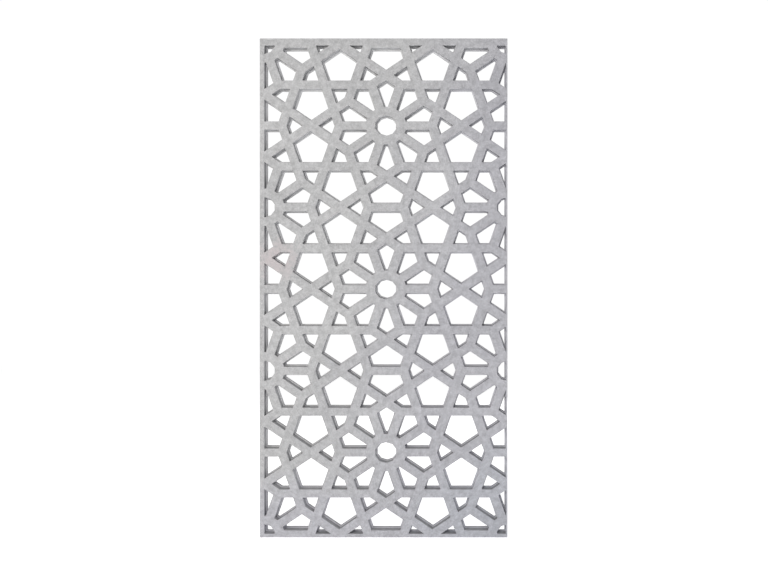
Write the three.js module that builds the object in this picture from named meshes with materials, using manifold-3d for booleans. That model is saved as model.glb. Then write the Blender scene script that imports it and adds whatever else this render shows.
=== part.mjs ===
// Mashrabiya screen: one cast slab, pierced right through by a lattice of ten-pointed rosettes and framed by
// a narrow flush border. Every bar is stepped: a raised strap in front, on a slightly wider base behind.
// Millimetres, +Z up. The slab stands upright in the XZ plane with its face towards -Y, and the origin is
// under it, in the middle of its foot. Seen from the face, +X is to the right.
import * as THREE from 'three';
import { mergeGeometries, mergeVertices } from 'three/addons/utils/BufferGeometryUtils.js';
import Module from 'manifold-3d';

// Driving dimensions
const panel = { width: 1191, height: 2400, thickness: 50 };
const border = { left: 22, right: 8, top: 33.5, bottom: 18.5 }; // widths on the face
const repeat = { width: 1172, height: 786.5, columns: 1, rows: 3 }; // of the pattern, and how many there are
const middle = { x: 11, y: 1195 }; // the centre of the middle rosette, above the origin
const strap = { width: 39.5, depth: 34 }; // the raised part of every bar, flush with the face
const ledge = 5.6; // how far the base behind stands out beyond the strap on each side
const ringRadius = 70; // of the ring that a rosette's spokes meet in, to the middle of its bar

// Cast stone, pale grey
const castStone = { color: 0xb9b9bb, roughness: 0.85, metalness: 0 };

// The pattern is drawn on the bars' centre lines, in units of the apothem of the decagon around a rosette.
// Spokes leave the rosette's centre every 36 degrees, the first one along +X.
const degree = Math.PI / 180;
const spokeReach = Math.sin(36 * degree) / Math.cos(18 * degree); // the spokes' outer ends
const petalTip = Math.tan(36 * degree); // the petals' points, halfway between the spokes
const decagonRadius = 1 / Math.cos(18 * degree); // the decagon's corners, where the pentagons are centred
const pentagonRadius = Math.tan(18 * degree);
const columnStep = 2 * Math.cos(36 * degree); // from one column of rosettes to the next
const rowStep = 2 * Math.sin(36 * degree); // from one row to the next; the rows are staggered
const waist = columnStep - 2 + spokeReach; // half the width of the bow tie between two rosettes
const unit = { x: repeat.width / (2 * columnStep), y: repeat.height / (2 * rowStep) };

const polar = (radius, angle) => [radius * Math.cos(angle * degree), radius * Math.sin(angle * degree)];

function turn([x, y], angle) {
  const c = Math.cos(angle * degree);
  const s = Math.sin(angle * degree);
  return [x * c - y * s, x * s + y * c];
}

// Moves each side of a counter-clockwise outline inwards
function inset(corners, distance) {
  const sides = corners.map(([x, y], i) => {
    const [nextX, nextY] = corners[(i + 1) % corners.length];
    const length = Math.hypot(nextX - x, nextY - y);
    const inward = [(y - nextY) / length, (nextX - x) / length];
    return { inward, reach: inward[0] * x + inward[1] * y + distance };
  });
  return sides.map((side, i) => {
    const last = sides.at(i - 1);
    const cross = last.inward[0] * side.inward[1] - last.inward[1] * side.inward[0];
    return [
      (last.reach * side.inward[1] - side.reach * last.inward[1]) / cross,
      (side.reach * last.inward[0] - last.reach * side.inward[0]) / cross,
    ];
  });
}

// Keeps the part of an outline where its distance along a direction is at least reach
function clip(corners, [dx, dy], reach) {
  const kept = [];
  corners.forEach(([x, y], i) => {
    const [nextX, nextY] = corners[(i + 1) % corners.length];
    const here = dx * x + dy * y - reach;
    const there = dx * nextX + dy * nextY - reach;
    if (here >= 0) kept.push([x, y]);
    if (here >= 0 !== there >= 0) {
      const share = here / (here - there);
      kept.push([x + share * (nextX - x), y + share * (nextY - y)]);
    }
  });
  return kept;
}

// The cells of one rosette, on the bars' centre lines: hub, petals, the kites around them and four of the
// pentagons outside
function rosette() {
  const steps = Array.from({ length: 10 }, (_, k) => 36 * k);
  const ring = ringRadius / unit.y;
  const hub = steps.map((angle) => polar(ring, angle + 18));
  const wedge = [[0, 0], polar(spokeReach, -18), [petalTip, 0], polar(spokeReach, 18)];
  const petal = clip(wedge, [1, 0], ring);
  const petals = steps.map((angle) => petal.map((corner) => turn(corner, angle + 18)));
  const kite = [[spokeReach, 0], polar(petalTip, -18), [1, 0], polar(petalTip, 18)];
  const kites = steps.map((angle) => kite.map((corner) => turn(corner, angle)));
  const pentagons = [18, 54, 126, 162].map((angle) => {
    const [x, y] = polar(decagonRadius, angle);
    return [0, 72, 144, 216, 288].map((corner) => {
      const [dx, dy] = polar(pentagonRadius, angle + 180 + corner);
      return [x + dx, y + dy];
    });
  });
  return [hub, ...petals, ...kites, ...pentagons];
}

// The cells halfway between a rosette and the next one above it: two house shapes and two kites
function bowTie() {
  const [shoulderX, shoulderY] = polar(1, 72);
  const house = [
    [0, petalTip], [shoulderX, shoulderY], [waist, rowStep], [-waist, rowStep], [-shoulderX, shoulderY],
  ];
  const kite = [
    [waist, rowStep], [shoulderX, shoulderY], [columnStep - 1, rowStep], [shoulderX, 2 * rowStep - shoulderY],
  ];
  const flipUp = (corners) => corners.map(([x, y]) => [x, 2 * rowStep - y]).reverse();
  const flipAcross = (corners) => corners.map(([x, y]) => [-x, y]).reverse();
  return [house, flipUp(house), kite, flipAcross(kite)];
}

// Cuts an opening off at the inner edges of the border, which is wider by extra than on the face
function cutAtBorder(corners, extra) {
  const edges = [
    [[1, 0], border.left + extra - panel.width / 2], [[-1, 0], border.right + extra - panel.width / 2],
    [[0, 1], border.bottom + extra], [[0, -1], border.top + extra - panel.height],
  ];
  return edges.reduce((kept, [direction, reach]) => clip(kept, direction, reach), corners);
}

// The openings that bars of the strap's width leave, or bars wider by extra on each side
function latticeOpenings(extra) {
  const halfBar = (strap.width / 2 + extra) / unit.y;
  const motif = [...rosette(), ...bowTie()].map((corners) => inset(corners, halfBar));
  const openings = [];
  for (let column = -repeat.columns; column <= repeat.columns; column += 1) {
    for (let row = -repeat.rows - 1; row <= repeat.rows + 1; row += 1) {
      if ((column + row) % 2) continue; // staggered rows
      const x = middle.x + column * columnStep * unit.x;
      const y = middle.y + row * rowStep * unit.y;
      openings.push(...motif.map((corners) => corners.map((c) => [x + c[0] * unit.x, y + c[1] * unit.y])));
    }
  }
  return openings.map((corners) => cutAtBorder(corners, extra)).filter((corners) => corners.length > 2);
}

// A straight block on a flat outline, standing upright from its front to its back along Y
function uprightBlock(corners, front, back) {
  const outline = new THREE.Shape(corners.map(([x, y]) => new THREE.Vector2(x, y)));
  const block = new THREE.ExtrudeGeometry(outline, { depth: back - front, bevelEnabled: false });
  return block.rotateX(Math.PI / 2).translate(0, back, 0);
}

const wasm = await Module();
wasm.setup();

function toSolid(geometry) {
  geometry.deleteAttribute('normal');
  geometry.deleteAttribute('uv');
  const merged = mergeVertices(geometry);
  return new wasm.Manifold(new wasm.Mesh({
    numProp: 3, vertProperties: merged.attributes.position.array, triVerts: merged.index.array,
  }));
}

function toGeometry(solid) {
  const { vertProperties, triVerts } = solid.getMesh();
  const geometry = new THREE.BufferGeometry();
  geometry.setAttribute('position', new THREE.BufferAttribute(vertProperties, 3));
  geometry.setIndex(new THREE.BufferAttribute(triVerts, 1));
  geometry.computeVertexNormals();
  return geometry;
}

function screenPanel() {
  const side = panel.width / 2;
  const face = -panel.thickness / 2;
  const back = panel.thickness / 2;
  const beyond = panel.thickness; // how far the cores run past the slab
  const outline = [[-side, 0], [side, 0], [side, panel.height], [-side, panel.height]];
  const cutAway = (solid, openings, depth) => {
    const cores = openings.map((corners) => uprightBlock(corners, face - beyond, face + depth));
    return solid.subtract(toSolid(mergeGeometries(cores)));
  };
  const slab = toSolid(uprightBlock(outline, face, back));
  const pierced = cutAway(slab, latticeOpenings(ledge), panel.thickness + beyond);
  const stepped = cutAway(pierced, latticeOpenings(0), strap.depth);
  const mesh = new THREE.Mesh(toGeometry(stepped), new THREE.MeshStandardMaterial(castStone));
  mesh.name = 'screen_panel';
  return mesh;
}

const screen = new THREE.Group();
screen.add(screenPanel());

export default screen;
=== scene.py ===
from math import cos, pi, radians, sin, tan

import bpy
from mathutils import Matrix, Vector


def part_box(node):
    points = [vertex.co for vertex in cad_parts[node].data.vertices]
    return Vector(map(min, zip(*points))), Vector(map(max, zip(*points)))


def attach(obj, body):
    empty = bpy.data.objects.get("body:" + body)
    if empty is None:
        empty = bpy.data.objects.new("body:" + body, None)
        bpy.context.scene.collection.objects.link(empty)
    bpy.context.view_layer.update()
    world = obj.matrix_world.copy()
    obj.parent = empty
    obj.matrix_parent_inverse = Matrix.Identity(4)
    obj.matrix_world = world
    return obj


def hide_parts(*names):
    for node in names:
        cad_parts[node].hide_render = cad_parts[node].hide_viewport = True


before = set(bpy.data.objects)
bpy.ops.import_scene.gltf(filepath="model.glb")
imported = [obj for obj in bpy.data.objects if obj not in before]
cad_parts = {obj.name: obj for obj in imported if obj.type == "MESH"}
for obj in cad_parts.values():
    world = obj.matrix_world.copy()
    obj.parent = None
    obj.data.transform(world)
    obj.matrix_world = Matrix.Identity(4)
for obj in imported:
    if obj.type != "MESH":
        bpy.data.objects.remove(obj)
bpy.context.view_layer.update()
panelLow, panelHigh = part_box("screen_panel")
print("frame loaded")


# A socket that takes part in expressions: an operator adds the Math or Vector Math node that it stands for
class Wire:
    def __init__(self, bench, socket):
        self.bench = bench
        self.socket = socket

    def other(self, name):
        return Wire(self.bench, self.socket.node.outputs[name])

    def __add__(self, value):
        return self.bench.maths("ADD", self, value)

    def __radd__(self, value):
        return self.bench.maths("ADD", value, self)

    def __sub__(self, value):
        return self.bench.maths("SUBTRACT", self, value)

    def __rsub__(self, value):
        return self.bench.maths("SUBTRACT", value, self)

    def __mul__(self, value):
        return self.bench.maths("MULTIPLY", self, value)

    def __rmul__(self, value):
        return self.bench.maths("MULTIPLY", value, self)

    def __truediv__(self, value):
        return self.bench.maths("DIVIDE", self, value)

    def __rtruediv__(self, value):
        return self.bench.maths("DIVIDE", value, self)

    def __neg__(self):
        return self.bench.maths("MULTIPLY", self, -1)

    def __mod__(self, value):
        return self.bench.maths("FLOORED_MODULO", self, value)

    def __gt__(self, value):
        return self.bench.maths("GREATER_THAN", self, value)

    def __lt__(self, value):
        return self.bench.maths("LESS_THAN", self, value)


def isNumber(value):
    return value.socket.type != "VECTOR" if isinstance(value, Wire) else isinstance(value, (int, float))


# A node tree with the one method that adds nodes to it
class Bench:
    def __init__(self, tree):
        self.tree = tree

    # kind: the node's type; settings: its own options; values: what its sockets get, by name or number
    def node(self, kind, settings=None, values=None, output=0):
        made = self.tree.nodes.new(kind)
        for name, setting in (settings or {}).items():
            if name == "items":  # of an Index Switch
                while len(made.index_switch_items) < setting:
                    made.index_switch_items.new()
            elif name == "capture":  # a vector's name
                made.capture_items.new("VECTOR", setting)
            elif name == "stops":  # of a colour ramp
                while len(made.color_ramp.elements) < len(setting):
                    made.color_ramp.elements.new(1)
                for element, (place, colour) in zip(made.color_ramp.elements, setting):
                    element.position = place
                    element.color = (*colour, 1)
            else:
                setattr(made, name, setting)
        for name, value in (values or {}).items():
            for one in value if isinstance(value, list) else [value]:
                self.give(made.inputs[name], one)
        return None if output is None else Wire(self, made.outputs[output])

    def give(self, socket, value):
        if isinstance(value, Wire):
            self.tree.links.new(value.socket, socket)
        else:
            socket.default_value = value

    def maths(self, operation, a, b=0):
        if isNumber(a) and isNumber(b):
            return self.node("ShaderNodeMath", {"operation": operation}, {0: a, 1: b})
        if operation == "MULTIPLY" and isNumber(a):
            a, b = b, a
        if operation == "MULTIPLY" and isNumber(b):
            return self.node("ShaderNodeVectorMath", {"operation": "SCALE"}, {0: a, "Scale": b})
        return self.node("ShaderNodeVectorMath", {"operation": operation}, {0: a, 1: b})

    def vector(self, x=0, y=0, z=0):
        return self.node("ShaderNodeCombineXYZ", None, {"X": x, "Y": y, "Z": z})


# The pattern, on the bars' centre lines, in units of the apothem of the decagon around a rosette
spokeReach = sin(radians(36)) / cos(radians(18))  # the spokes' outer ends
petalTip = tan(radians(36))  # the petals' points, halfway between the spokes
decagonRadius = 1 / cos(radians(18))  # the decagon's corners, where the pentagons are centred
pentagonRadius = tan(radians(18))
columnStep = 2 * cos(radians(36))  # from one column of rosettes to the next
rowStep = 2 * sin(radians(36))  # from one row to the next; the rows are staggered
waist = columnStep - 2 + spokeReach  # half the width of the bow tie between two rosettes

panel = {
    "Width": panelHigh.x - panelLow.x,
    "Height": panelHigh.z - panelLow.z,
    "Thickness": panelHigh.y - panelLow.y,
    "Border Left": 0.022,
    "Border Right": 0.008,
    "Border Top": 0.0335,
    "Border Bottom": 0.0185,
    "Repeat Width": 1.172,
    "Repeat Height": 0.7865,
    "Middle X": 0.011,  # of the middle rosette
    "Middle Z": 1.195,
    "Columns": 1,  # of rosettes on either side of the middle one
    "Rows": 4,  # above it and below it
    "Strap Width": 0.0395,
    "Strap Depth": 0.034,
    "Ledge": 0.0056,  # how far the base behind stands out beyond the strap
    "Ring Radius": 0.070,
    "Arris": 0.0014,  # radius of the softened edges
    "Corner": 0.0022,  # radius of the openings' corners, seen from the face
    "Step": 0.022,  # longest straight stretch of an edge
    "Wobble": 0.00028,  # how far an edge strays from true
    "Seed": 7,
}


def polar(radius, angle):
    return radius * cos(radians(angle)), radius * sin(radians(angle)), 0.0


# A line through the given points, each a tuple or a Wire; closed ones run counter-clockwise
def lineThrough(g, points, closed):
    place = g.node("GeometryNodeIndexSwitch", {"data_type": "VECTOR", "items": len(points)},
                   {"Index": g.node("GeometryNodeInputIndex"), **{i + 1: p for i, p in enumerate(points)}})
    if closed:
        line = g.node("GeometryNodeCurvePrimitiveCircle", None, {"Resolution": len(points)})
    else:
        line = g.node("GeometryNodeMeshToCurve", None, {"Mesh": g.node(
            "GeometryNodeMeshLine", None, {"Count": len(points)})})
    return g.node("GeometryNodeSetPosition", None, {"Geometry": line, "Position": place})


def moved(g, geometry, translation=(0, 0, 0), rotation=(0, 0, 0), scale=(1, 1, 1)):
    return g.node("GeometryNodeTransform", None, {
        "Geometry": geometry, "Translation": translation, "Rotation": rotation, "Scale": scale})


# Copies around the origin, the first one turned by start and each next one by step more
def around(g, geometry, count, start, step, missing=None):
    index = g.node("GeometryNodeInputIndex")
    turned = g.vector(z=index * radians(step) + radians(start))
    values = {"Points": g.node("GeometryNodePoints", None, {"Count": count}), "Instance": geometry,
              "Rotation": turned}
    if missing is not None:
        values["Selection"] = g.node("FunctionNodeCompare", {"data_type": "INT", "operation": "NOT_EQUAL"},
                                     {2: index, 3: missing})
    return g.node("GeometryNodeInstanceOnPoints", None, values)


def joined(g, *geometries):
    return g.node("GeometryNodeJoinGeometry", None, {"Geometry": list(geometries)})


# The cells between the bars of one rosette, and of the bow tie above it
def motif(g, ring):
    hub = moved(g, g.node("GeometryNodeCurvePrimitiveCircle", None, {"Resolution": 10, "Radius": ring}),
                rotation=(0, 0, radians(18)))
    slope = tan(radians(18))
    petal = lineThrough(g, [
        g.vector(ring, ring * -slope), polar(spokeReach, -18), (petalTip, 0, 0), polar(spokeReach, 18),
        g.vector(ring, ring * slope),
    ], True)
    kite = lineThrough(g, [(spokeReach, 0, 0), polar(petalTip, -18), (1, 0, 0), polar(petalTip, 18)], True)
    pentagon = moved(g, g.node("GeometryNodeCurvePrimitiveCircle", None,
                               {"Resolution": 5, "Radius": pentagonRadius}),
                     (decagonRadius, 0, 0), (0, 0, pi))
    shoulderX, shoulderY, _ = polar(1, 72)
    house = lineThrough(g, [
        (0, petalTip, 0), (shoulderX, shoulderY, 0), (waist, rowStep, 0), (-waist, rowStep, 0),
        (-shoulderX, shoulderY, 0),
    ], True)
    wing = lineThrough(g, [
        (waist, rowStep, 0), (shoulderX, shoulderY, 0), (columnStep - 1, rowStep, 0),
        (shoulderX, 2 * rowStep - shoulderY, 0),
    ], True)
    halfBowTie = moved(g, joined(g, house, wing), (0, -rowStep, 0))
    return joined(
        g, hub, around(g, petal, 10, 18, 36), around(g, kite, 10, 0, 36),
        around(g, pentagon, 5, 18, 36, missing=2),  # the bow tie takes the place of the middle one
        moved(g, around(g, halfBowTie, 2, 0, 180), (0, rowStep, 0)),
    )


# The motif on a staggered grid of (2 columns + 1) by (2 rows + 1) places
def lattice(g, geometry, columns, rows):
    index = g.node("GeometryNodeInputIndex")
    across = columns * 2 + 1
    column = index % across - columns
    row = g.maths("FLOOR", index / across) - rows
    points = g.node("GeometryNodePoints", None, {
        "Count": across * (rows * 2 + 1), "Position": g.vector(column * columnStep, row * rowStep)})
    return g.node("GeometryNodeInstanceOnPoints", None, {
        "Points": points, "Instance": geometry, "Selection": (column + row) % 2 < 0.5})


# Closed solids on flat outlines. The profile's X is how far a layer lies inside the outline, its Z is the
# layer's height. Each layer has the outline's corners rounded by the same radius.
def solids(g, outlines, inset, corner, longest, profile):
    def neighbour(offset):
        index = g.node("GeometryNodeOffsetPointInCurve", None, {"Offset": offset}, "Point Index")
        return g.node("GeometryNodeFieldAtIndex", {"data_type": "FLOAT_VECTOR"},
                      {"Value": g.node("GeometryNodeInputPosition"), "Index": index})

    def direction(start, end):
        return g.node("ShaderNodeVectorMath", {"operation": "NORMALIZE"}, {0: end - start})

    position = g.node("GeometryNodeInputPosition")
    before = direction(neighbour(-1), position)
    after = direction(position, neighbour(1))
    cosine = g.node("ShaderNodeVectorMath", {"operation": "DOT_PRODUCT"}, {0: before, 1: after}, "Value")
    across = g.node("ShaderNodeVectorMath", {"operation": "CROSS_PRODUCT"}, {
        0: (0, 0, 1), 1: before + after})
    mitre = across * (1 / (cosine + 1))
    outlines = g.node("GeometryNodeCaptureAttribute", {"domain": "POINT", "capture": "mitre"}, {
        "Geometry": outlines, 1: mitre})
    mitre = outlines.other("mitre")
    narrowed = g.node("GeometryNodeSetPosition", None, {"Geometry": outlines, "Offset": mitre * inset})
    rounded = g.node("GeometryNodeFilletCurve", {"mode": "POLY"}, {
        "Curve": narrowed, "Count": 2, "Radius": corner, "Limit Radius": True})
    length = g.node("ShaderNodeVectorMath", {"operation": "DISTANCE"}, {
        0: position, 1: neighbour(1)}, "Value")
    divided = g.node("GeometryNodeSubdivideCurve", None, {
        "Curve": rounded, "Cuts": g.maths("FLOOR", length / longest)})
    divided = g.node("GeometryNodeCaptureAttribute", {"domain": "POINT", "capture": "place"}, {
        "Geometry": divided, 1: g.node("GeometryNodeInputPosition")})
    profile = g.node("GeometryNodeCaptureAttribute", {"domain": "POINT", "capture": "layer"}, {
        "Geometry": profile, 1: g.node("GeometryNodeInputPosition")})
    layer = g.node("ShaderNodeSeparateXYZ", None, {"Vector": profile.other("layer")})
    body = g.node("GeometryNodeFlipFaces", None, {"Mesh": g.node("GeometryNodeCurveToMesh", None, {
        "Curve": profile, "Profile Curve": divided, "Fill Caps": True})})
    return g.node("GeometryNodeSetPosition", None, {
        "Geometry": body,
        "Position": divided.other("place") + mitre * layer + g.vector(z=layer.other("Z"))})


def rectangle(g, left, right, bottom, top):
    return lineThrough(g, [g.vector(left, bottom), g.vector(right, bottom), g.vector(right, top),
                           g.vector(left, top)], True)


# Points of a quarter round of an arris, as layers of a profile
def quarterRound(g, x, z, radius, start, steps=3, side=1):
    turns = [radians(start - 90 * i / steps) for i in range(steps + 1)]
    return [g.vector(x + radius * (side * cos(turn)), 0, z + radius * sin(turn)) for turn in turns]


# Edges that stray a little from true, as a mould leaves them
def strayed(g, geometry, amount, seed):
    noise = g.node("ShaderNodeTexNoise", {"noise_dimensions": "4D"}, {
        "Vector": g.node("GeometryNodeInputPosition"), "W": seed, "Scale": 45, "Detail": 3,
        "Roughness": 0.6}, "Color")
    return g.node("GeometryNodeSetPosition", None, {
        "Geometry": geometry, "Offset": (noise - (0.5, 0.5, 0.5)) * (4, 4, 1.5) * amount})


def boolean(g, operation, first, second):
    values = {"Mesh 2": [first, second]} if operation == "INTERSECT" else {"Mesh 1": first, "Mesh 2": second}
    return g.node("GeometryNodeMeshBoolean", {"operation": operation, "solver": "MANIFOLD"}, values)


def panelTree():
    tree = bpy.data.node_groups.new("Cast Screen Panel", "GeometryNodeTree")
    tree.interface.new_socket("Geometry", in_out="INPUT", socket_type="NodeSocketGeometry")
    tree.interface.new_socket("Geometry", in_out="OUTPUT", socket_type="NodeSocketGeometry")
    for name, value in panel.items():
        kind = "NodeSocketInt" if isinstance(value, int) else "NodeSocketFloat"
        tree.interface.new_socket(name, in_out="INPUT", socket_type=kind)
    tree.interface.new_socket("Material", in_out="INPUT", socket_type="NodeSocketMaterial")
    g = Bench(tree)
    given = g.node("NodeGroupInput")
    size = {name: given.other(name) for name in panel}
    arris, ledge, thickness = size["Arris"], size["Ledge"], size["Thickness"]

    # The openings' profile, from in front of the face to behind the back; its ends stand clear of the slab
    clear = arris * 2
    clearIn, clearUp = clear * cos(radians(15)), clear * sin(radians(15))
    shelf = -size["Strap Depth"]
    rim = arris * 0.7  # of the base's front edge
    profile = lineThrough(g, [
        g.vector(-arris - clearIn, 0, clearUp), *quarterRound(g, -arris, -arris, arris, 90)[1:],
        g.vector(0, 0, shelf + arris * 0.6), g.vector(arris * 0.6, 0, shelf),
        *quarterRound(g, ledge - rim, shelf - rim, rim, 90, 2),
        *quarterRound(g, ledge - arris, arris - thickness, arris, 0)[:-1],
        g.vector(ledge - arris - clearIn, 0, -clearUp - thickness),
    ], False)

    unit = size["Repeat Height"] / (2 * rowStep)
    stretch = size["Repeat Width"] / (2 * columnStep) / unit
    cells = lattice(g, motif(g, size["Ring Radius"] / unit), size["Columns"], size["Rows"])
    cells = g.node("GeometryNodeRealizeInstances", None, {"Geometry": moved(
        g, cells, scale=g.vector(unit, unit, unit))})
    cells = solids(g, cells, size["Strap Width"] * 0.5, size["Corner"], size["Step"], profile)
    cells = moved(g, cells, g.vector(size["Middle X"], size["Middle Z"]), scale=g.vector(stretch, 1, 1))

    halfWidth = size["Width"] * 0.5
    field = rectangle(g, size["Border Left"] - halfWidth, halfWidth - size["Border Right"],
                      size["Border Bottom"], size["Height"] - size["Border Top"])
    field = solids(g, field, 0, size["Corner"], size["Step"], profile)
    cores = [strayed(g, solid, size["Wobble"], size["Seed"]) for solid in (cells, field)]
    openings = boolean(g, "INTERSECT", *cores)

    edge = lineThrough(g, [
        *quarterRound(g, arris, -arris, arris, 90, side=-1),
        *quarterRound(g, arris, arris - thickness, arris, 0, side=-1),
    ], False)
    slab = rectangle(g, -halfWidth, halfWidth, 0, size["Height"])
    slab = solids(g, slab, 0, size["Corner"], size["Step"], edge)
    pierced = boolean(g, "DIFFERENCE", slab, openings)
    tilt = g.maths("ABSOLUTE", g.node("ShaderNodeSeparateXYZ", None, {
        "Vector": g.node("GeometryNodeInputNormal")}).other("Z"))
    shaded = g.node("GeometryNodeSetShadeSmooth", None, {  # only the arrises are smooth
        "Geometry": pierced, "Shade Smooth": (tilt > 0.1) * (tilt < 0.995)})
    upright = moved(g, shaded, g.vector(0, thickness * -0.5, 0), (pi / 2, 0, 0))
    finished = g.node("GeometryNodeSetMaterial", None, {
        "Geometry": g.node("GeometryNodeRealizeInstances", None, {"Geometry": upright}),
        "Material": given.other("Material")})
    g.node("NodeGroupOutput", None, {"Geometry": finished}, None)
    return tree


# The tree's result as a plain mesh
def meshOf(name, tree, values, material):
    piece = bpy.data.objects.new(name, bpy.data.meshes.new(name))
    bpy.context.scene.collection.objects.link(piece)
    modifier = piece.modifiers.new(name, "NODES")
    modifier.node_group = tree
    sockets = {item.name: item.identifier for item in tree.interface.items_tree if item.in_out == "INPUT"}
    for key, value in {**values, "Material": material}.items():
        modifier[sockets[key]] = value
    made = bpy.data.meshes.new_from_object(piece.evaluated_get(bpy.context.evaluated_depsgraph_get()))
    piece.modifiers.remove(modifier)
    piece.data = made
    made.name = name
    return piece


stone = {
    "colour": (0.495, 0.499, 0.515),
    "shadeColour": (0.317, 0.320, 0.331),  # where the clouds and the mottling are darkest
    "unevenness": 1.632,
    "cloudScale": 2.6,
    "mottleScale": 38,
    "fineScale": 150,
    "grainScale": 620,
    "grainContrast": 0.3,
    "pitColour": (0.22, 0.22, 0.22),
    "pitScale": 95,
    "pitStrength": 0.6,
    "baseColour": (0.62, 0.62, 0.635),  # painted light: the base behind the straps is painted paler, as if lit from behind
    "baseStart": 0.0075,  # along Y
    "baseEnd": 0.0240,
    "baseStrength": 0.8,
    "dustColour": (0.27, 0.27, 0.28),  # painted shade, partly settled dirt, darkening surfaces facing up
    "dustStrength": 0.64,
    "stainColour": (0.455, 0.42, 0.435),  # one faint rosy stain by the left edge
    "stainPlace": (-0.515, 0, 1.335),
    "stainSize": 0.12,
    "stainStrength": 0.85,
    "coolTint": (0.95, 0.945, 0.992),  # painted shade: the right side and the bottom are painted darker and bluer
    "shadedCoolStart": -0.5,  # where it begins across the panel
    "shadedCoolEnd": 0.05,  # where it is full
    "shadedCoolLean": 0.25,  # how far these lines lean to the right for each metre up
    "shadedFootTop": 0.32,
    "cornerTint": (0.965, 0.985, 1.0),  # painted shade: the lower right corner is painted bluer and a little darker
    "cornerSize": 0.55,
    "roughness": 0.81,
    "roughnessSpread": 0.1,
    "bumpStrength": 0.6,
    "bumpHeight": 0.0008,
}


def stoneMaterial():
    material = bpy.data.materials.new("Cast Stone")
    material.use_nodes = True
    material.node_tree.nodes.clear()
    s = Bench(material.node_tree)
    place = s.node("ShaderNodeTexCoord", None, None, "Object")

    def noise(scale, detail, roughness=0.5):
        return s.node("ShaderNodeTexNoise", None, {
            "Vector": place, "Scale": scale, "Detail": detail, "Roughness": roughness})

    def between(value, low, high):  # 0 at low, 1 at high
        return s.node("ShaderNodeMapRange", None, {"Value": value, "From Min": low, "From Max": high})

    def patch(distance, size, core):  # 1 up to core times the size, 0 from the size on
        return between(distance, size, size * core)

    def distanceTo(point):
        return s.node("ShaderNodeVectorMath", {"operation": "DISTANCE"}, {0: place, 1: point}, "Value")

    def mixed(factor, first, second):
        return s.node("ShaderNodeMix", {"data_type": "RGBA"}, {0: factor, 6: first, 7: second}, 2)

    def painted(factor, colour, name):
        return mixed(factor * stone[name + "Strength"], colour, (*stone[name + "Colour"], 1))

    def tinted(factor, colour, name):
        return mixed(factor, colour, s.node("ShaderNodeVectorMath", {"operation": "MULTIPLY"}, {
            0: colour, 1: stone[name + "Tint"]}))

    clouds = between(noise(stone["cloudScale"], 5, 0.55), 0.35, 0.65)
    mottle = between(noise(stone["mottleScale"], 4, 0.6), 0.3, 0.7)
    fine = between(noise(stone["fineScale"], 3, 0.6), 0.3, 0.7)
    grain = noise(stone["grainScale"], 3, 0.7)
    cells = s.node("ShaderNodeTexVoronoi", None, {"Vector": place, "Scale": stone["pitScale"]}, "Distance")
    pits = between(cells, 0.16, 0.05) * (noise(stone["pitScale"] * 0.7, 0) > 0.6)  # in a few of the cells

    normal = s.node("ShaderNodeNewGeometry", None, None, "Normal")
    up = s.node("ShaderNodeSeparateXYZ", None, {"Vector": normal}).other("Z")
    # Painted shade, partly settled dirt: surfaces facing up are darkened
    dust = between(up, 0.3, 0.8) * (0.6 + 0.4 * mottle)

    across = s.node("ShaderNodeSeparateXYZ", None, {"Vector": place})
    depth, height = across.other("Y"), across.other("Z")
    # Painted light: between these depths the base's ledge and walls are painted paler, standing in for light
    # from behind
    base = (depth > stone["baseStart"]) * (depth < stone["baseEnd"])
    stray = clouds - 0.5  # makes the patches' outlines uneven
    # Painted shade: the right side, the bottom and the lower right corner are tinted darker and bluer, where
    # the light falls off
    leaning = across - height * stone["shadedCoolLean"]
    side = between(leaning + 0.2 * stray, stone["shadedCoolStart"], stone["shadedCoolEnd"])
    shadedFoot = patch(height + 0.15 * stray, stone["shadedFootTop"], 0.4)
    corner = patch(distanceTo((panelHigh.x, 0, 0)) + 0.15 * stray, stone["cornerSize"], 0.5)
    stain = patch(distanceTo(stone["stainPlace"]) + 0.12 * (mottle - 0.5), stone["stainSize"], 0.3)

    uneven = (clouds * 0.14 + mottle * 0.46 + fine * 0.4 - 0.5) * stone["unevenness"] + 0.5
    colour = mixed(uneven, (*stone["colour"], 1), (*stone["shadeColour"], 1))
    colour = painted(stain, colour, "stain")
    # painted light: the base's ledge and walls painted paler
    colour = painted(base, colour, "base")
    colour = s.node("ShaderNodeVectorMath", {"operation": "SCALE"}, {
        0: colour, "Scale": grain * stone["grainContrast"] + (1 - stone["grainContrast"] / 2)})
    # painted shade: darker, bluer right side and bottom
    colour = tinted(s.maths("MAXIMUM", side, shadedFoot), colour, "cool")
    # painted shade: bluer, a little darker lower right corner
    colour = tinted(corner, colour, "corner")
    # painted shade and settled dirt on surfaces facing up
    colour = painted(dust, colour, "dust")
    colour = painted(pits, colour, "pit")
    relief = grain * 0.5 + mottle * 0.5 + fine * 0.3 - pits * 1.2
    bump = s.node("ShaderNodeBump", None, {
        "Strength": stone["bumpStrength"], "Distance": stone["bumpHeight"], "Height": relief})
    shader = s.node("ShaderNodeBsdfPrincipled", None, {
        "Base Color": colour, "Roughness": grain * stone["roughnessSpread"] + stone["roughness"],
        "Normal": bump, "Specular IOR Level": 0.35})
    s.node("ShaderNodeOutputMaterial", None, {"Surface": shader}, None)
    return material


screenPanel = meshOf("Cast_Screen_Panel", panelTree(), panel, stoneMaterial())
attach(screenPanel, "root")
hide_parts("screen_panel")
print("panel made:", len(screenPanel.data.vertices), "vertices,", len(screenPanel.data.polygons), "faces")

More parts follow.
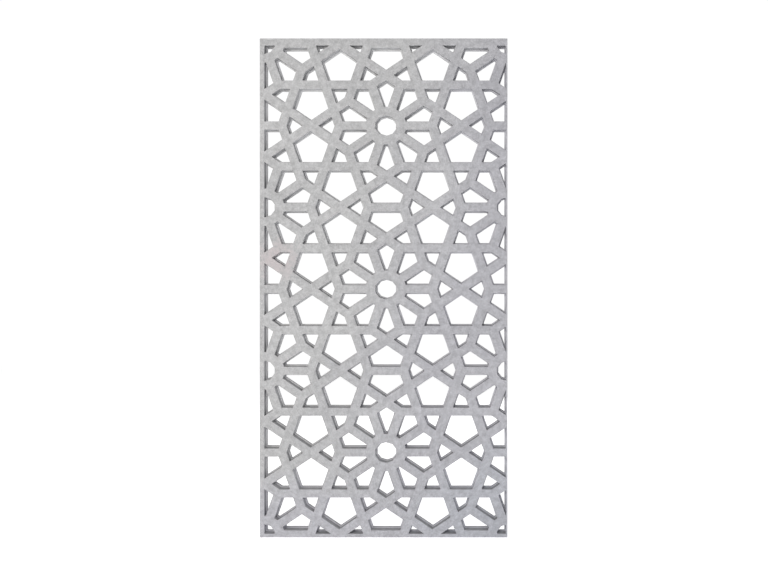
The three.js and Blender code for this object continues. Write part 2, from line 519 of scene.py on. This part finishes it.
studio = {
    "cameraX": 0.464,
    "cameraHeight": 1.318,
    "cameraDistance": 3.80,  # in front of the panel's face
    "viewWidth": 3.692,  # what the camera takes in at the face
    "viewX": 0.002,  # the middle of the view, at the face
    "viewHeight": 1.200,
    "floorColour": (0.85, 0.85, 0.85, 1),
    "floorGlow": 0.80,
    "floorReach": 6,
    "backdrop": 1.02,  # brightness behind the panel
    "airLight": 0.22,  # of the light from all round
    "lights": [  # name, power, place, size, colour
        ("Key Light", 80, (-0.4, -4.2, 2.8), 1.2, (1, 0.985, 0.965)),
        ("Side Light", 34, (-2.4, -2.4, 2.0), 1.6, (1, 0.955, 0.86)),
        ("Top Light", 14, (0, -0.2, 4.6), 2, (1, 1, 1)),
        ("Back Light", 40, (1.4, 3.6, 1.6), 2, (1, 1, 1)),
        ("Fill Light", 5, (2.8, -2.0, 1.0), 1.6, (0.97, 0.98, 1)),
    ],
}


def camera():
    data = bpy.data.cameras.new("Camera")
    data.sensor_width = 36
    data.lens = data.sensor_width * studio["cameraDistance"] / studio["viewWidth"]
    data.shift_x = (studio["viewX"] - studio["cameraX"]) / studio["viewWidth"]
    data.shift_y = (studio["viewHeight"] - studio["cameraHeight"]) / studio["viewWidth"]
    made = bpy.data.objects.new("Camera", data)
    made.location = (studio["cameraX"], panelLow.y - studio["cameraDistance"], studio["cameraHeight"])
    made.rotation_euler = (pi / 2, 0, 0)
    bpy.context.scene.collection.objects.link(made)
    bpy.context.scene.camera = made


def floor():
    reach = studio["floorReach"]
    mesh = bpy.data.meshes.new("Floor")
    mesh.from_pydata([(-reach, -reach, 0), (reach, -reach, 0), (reach, reach, 0), (-reach, reach, 0)], [],
                     [(0, 1, 2, 3)])
    material = bpy.data.materials.new("Studio Floor")
    material.use_nodes = True
    shader = material.node_tree.nodes["Principled BSDF"]
    shader.inputs["Base Color"].default_value = studio["floorColour"]
    shader.inputs["Roughness"].default_value = 0.9
    shader.inputs["Emission Color"].default_value = (1, 1, 1, 1)
    shader.inputs["Emission Strength"].default_value = studio["floorGlow"]
    mesh.materials.append(material)
    made = bpy.data.objects.new("Floor", mesh)
    bpy.context.scene.collection.objects.link(made)


def areaLight(name, power, place, size, colour):
    data = bpy.data.lights.new(name, "AREA")
    data.energy = power
    data.size = size
    data.color = colour
    made = bpy.data.objects.new(name, data)
    made.location = place
    middle = (panelLow + panelHigh) / 2
    made.rotation_euler = (middle - Vector(place)).to_track_quat("-Z", "Y").to_euler()
    made.visible_camera = False
    bpy.context.scene.collection.objects.link(made)


# The camera sees a white backdrop, and the panel is lit by dimmer air
def air():
    world = bpy.data.worlds.new("Studio Air")
    world.use_nodes = True
    world.node_tree.nodes.clear()
    w = Bench(world.node_tree)
    seen = w.node("ShaderNodeLightPath", None, None, "Is Camera Ray")
    light = w.node("ShaderNodeBackground", None, {
        "Color": (1, 1, 1, 1),
        "Strength": seen * (studio["backdrop"] - studio["airLight"]) + studio["airLight"]})
    w.node("ShaderNodeOutputWorld", None, {"Surface": light}, None)
    bpy.context.scene.world = world
    bpy.context.scene.view_settings.view_transform = "Standard"


camera()
floor()
for lightValues in studio["lights"]:
    areaLight(*lightValues)
air()
print("studio made")
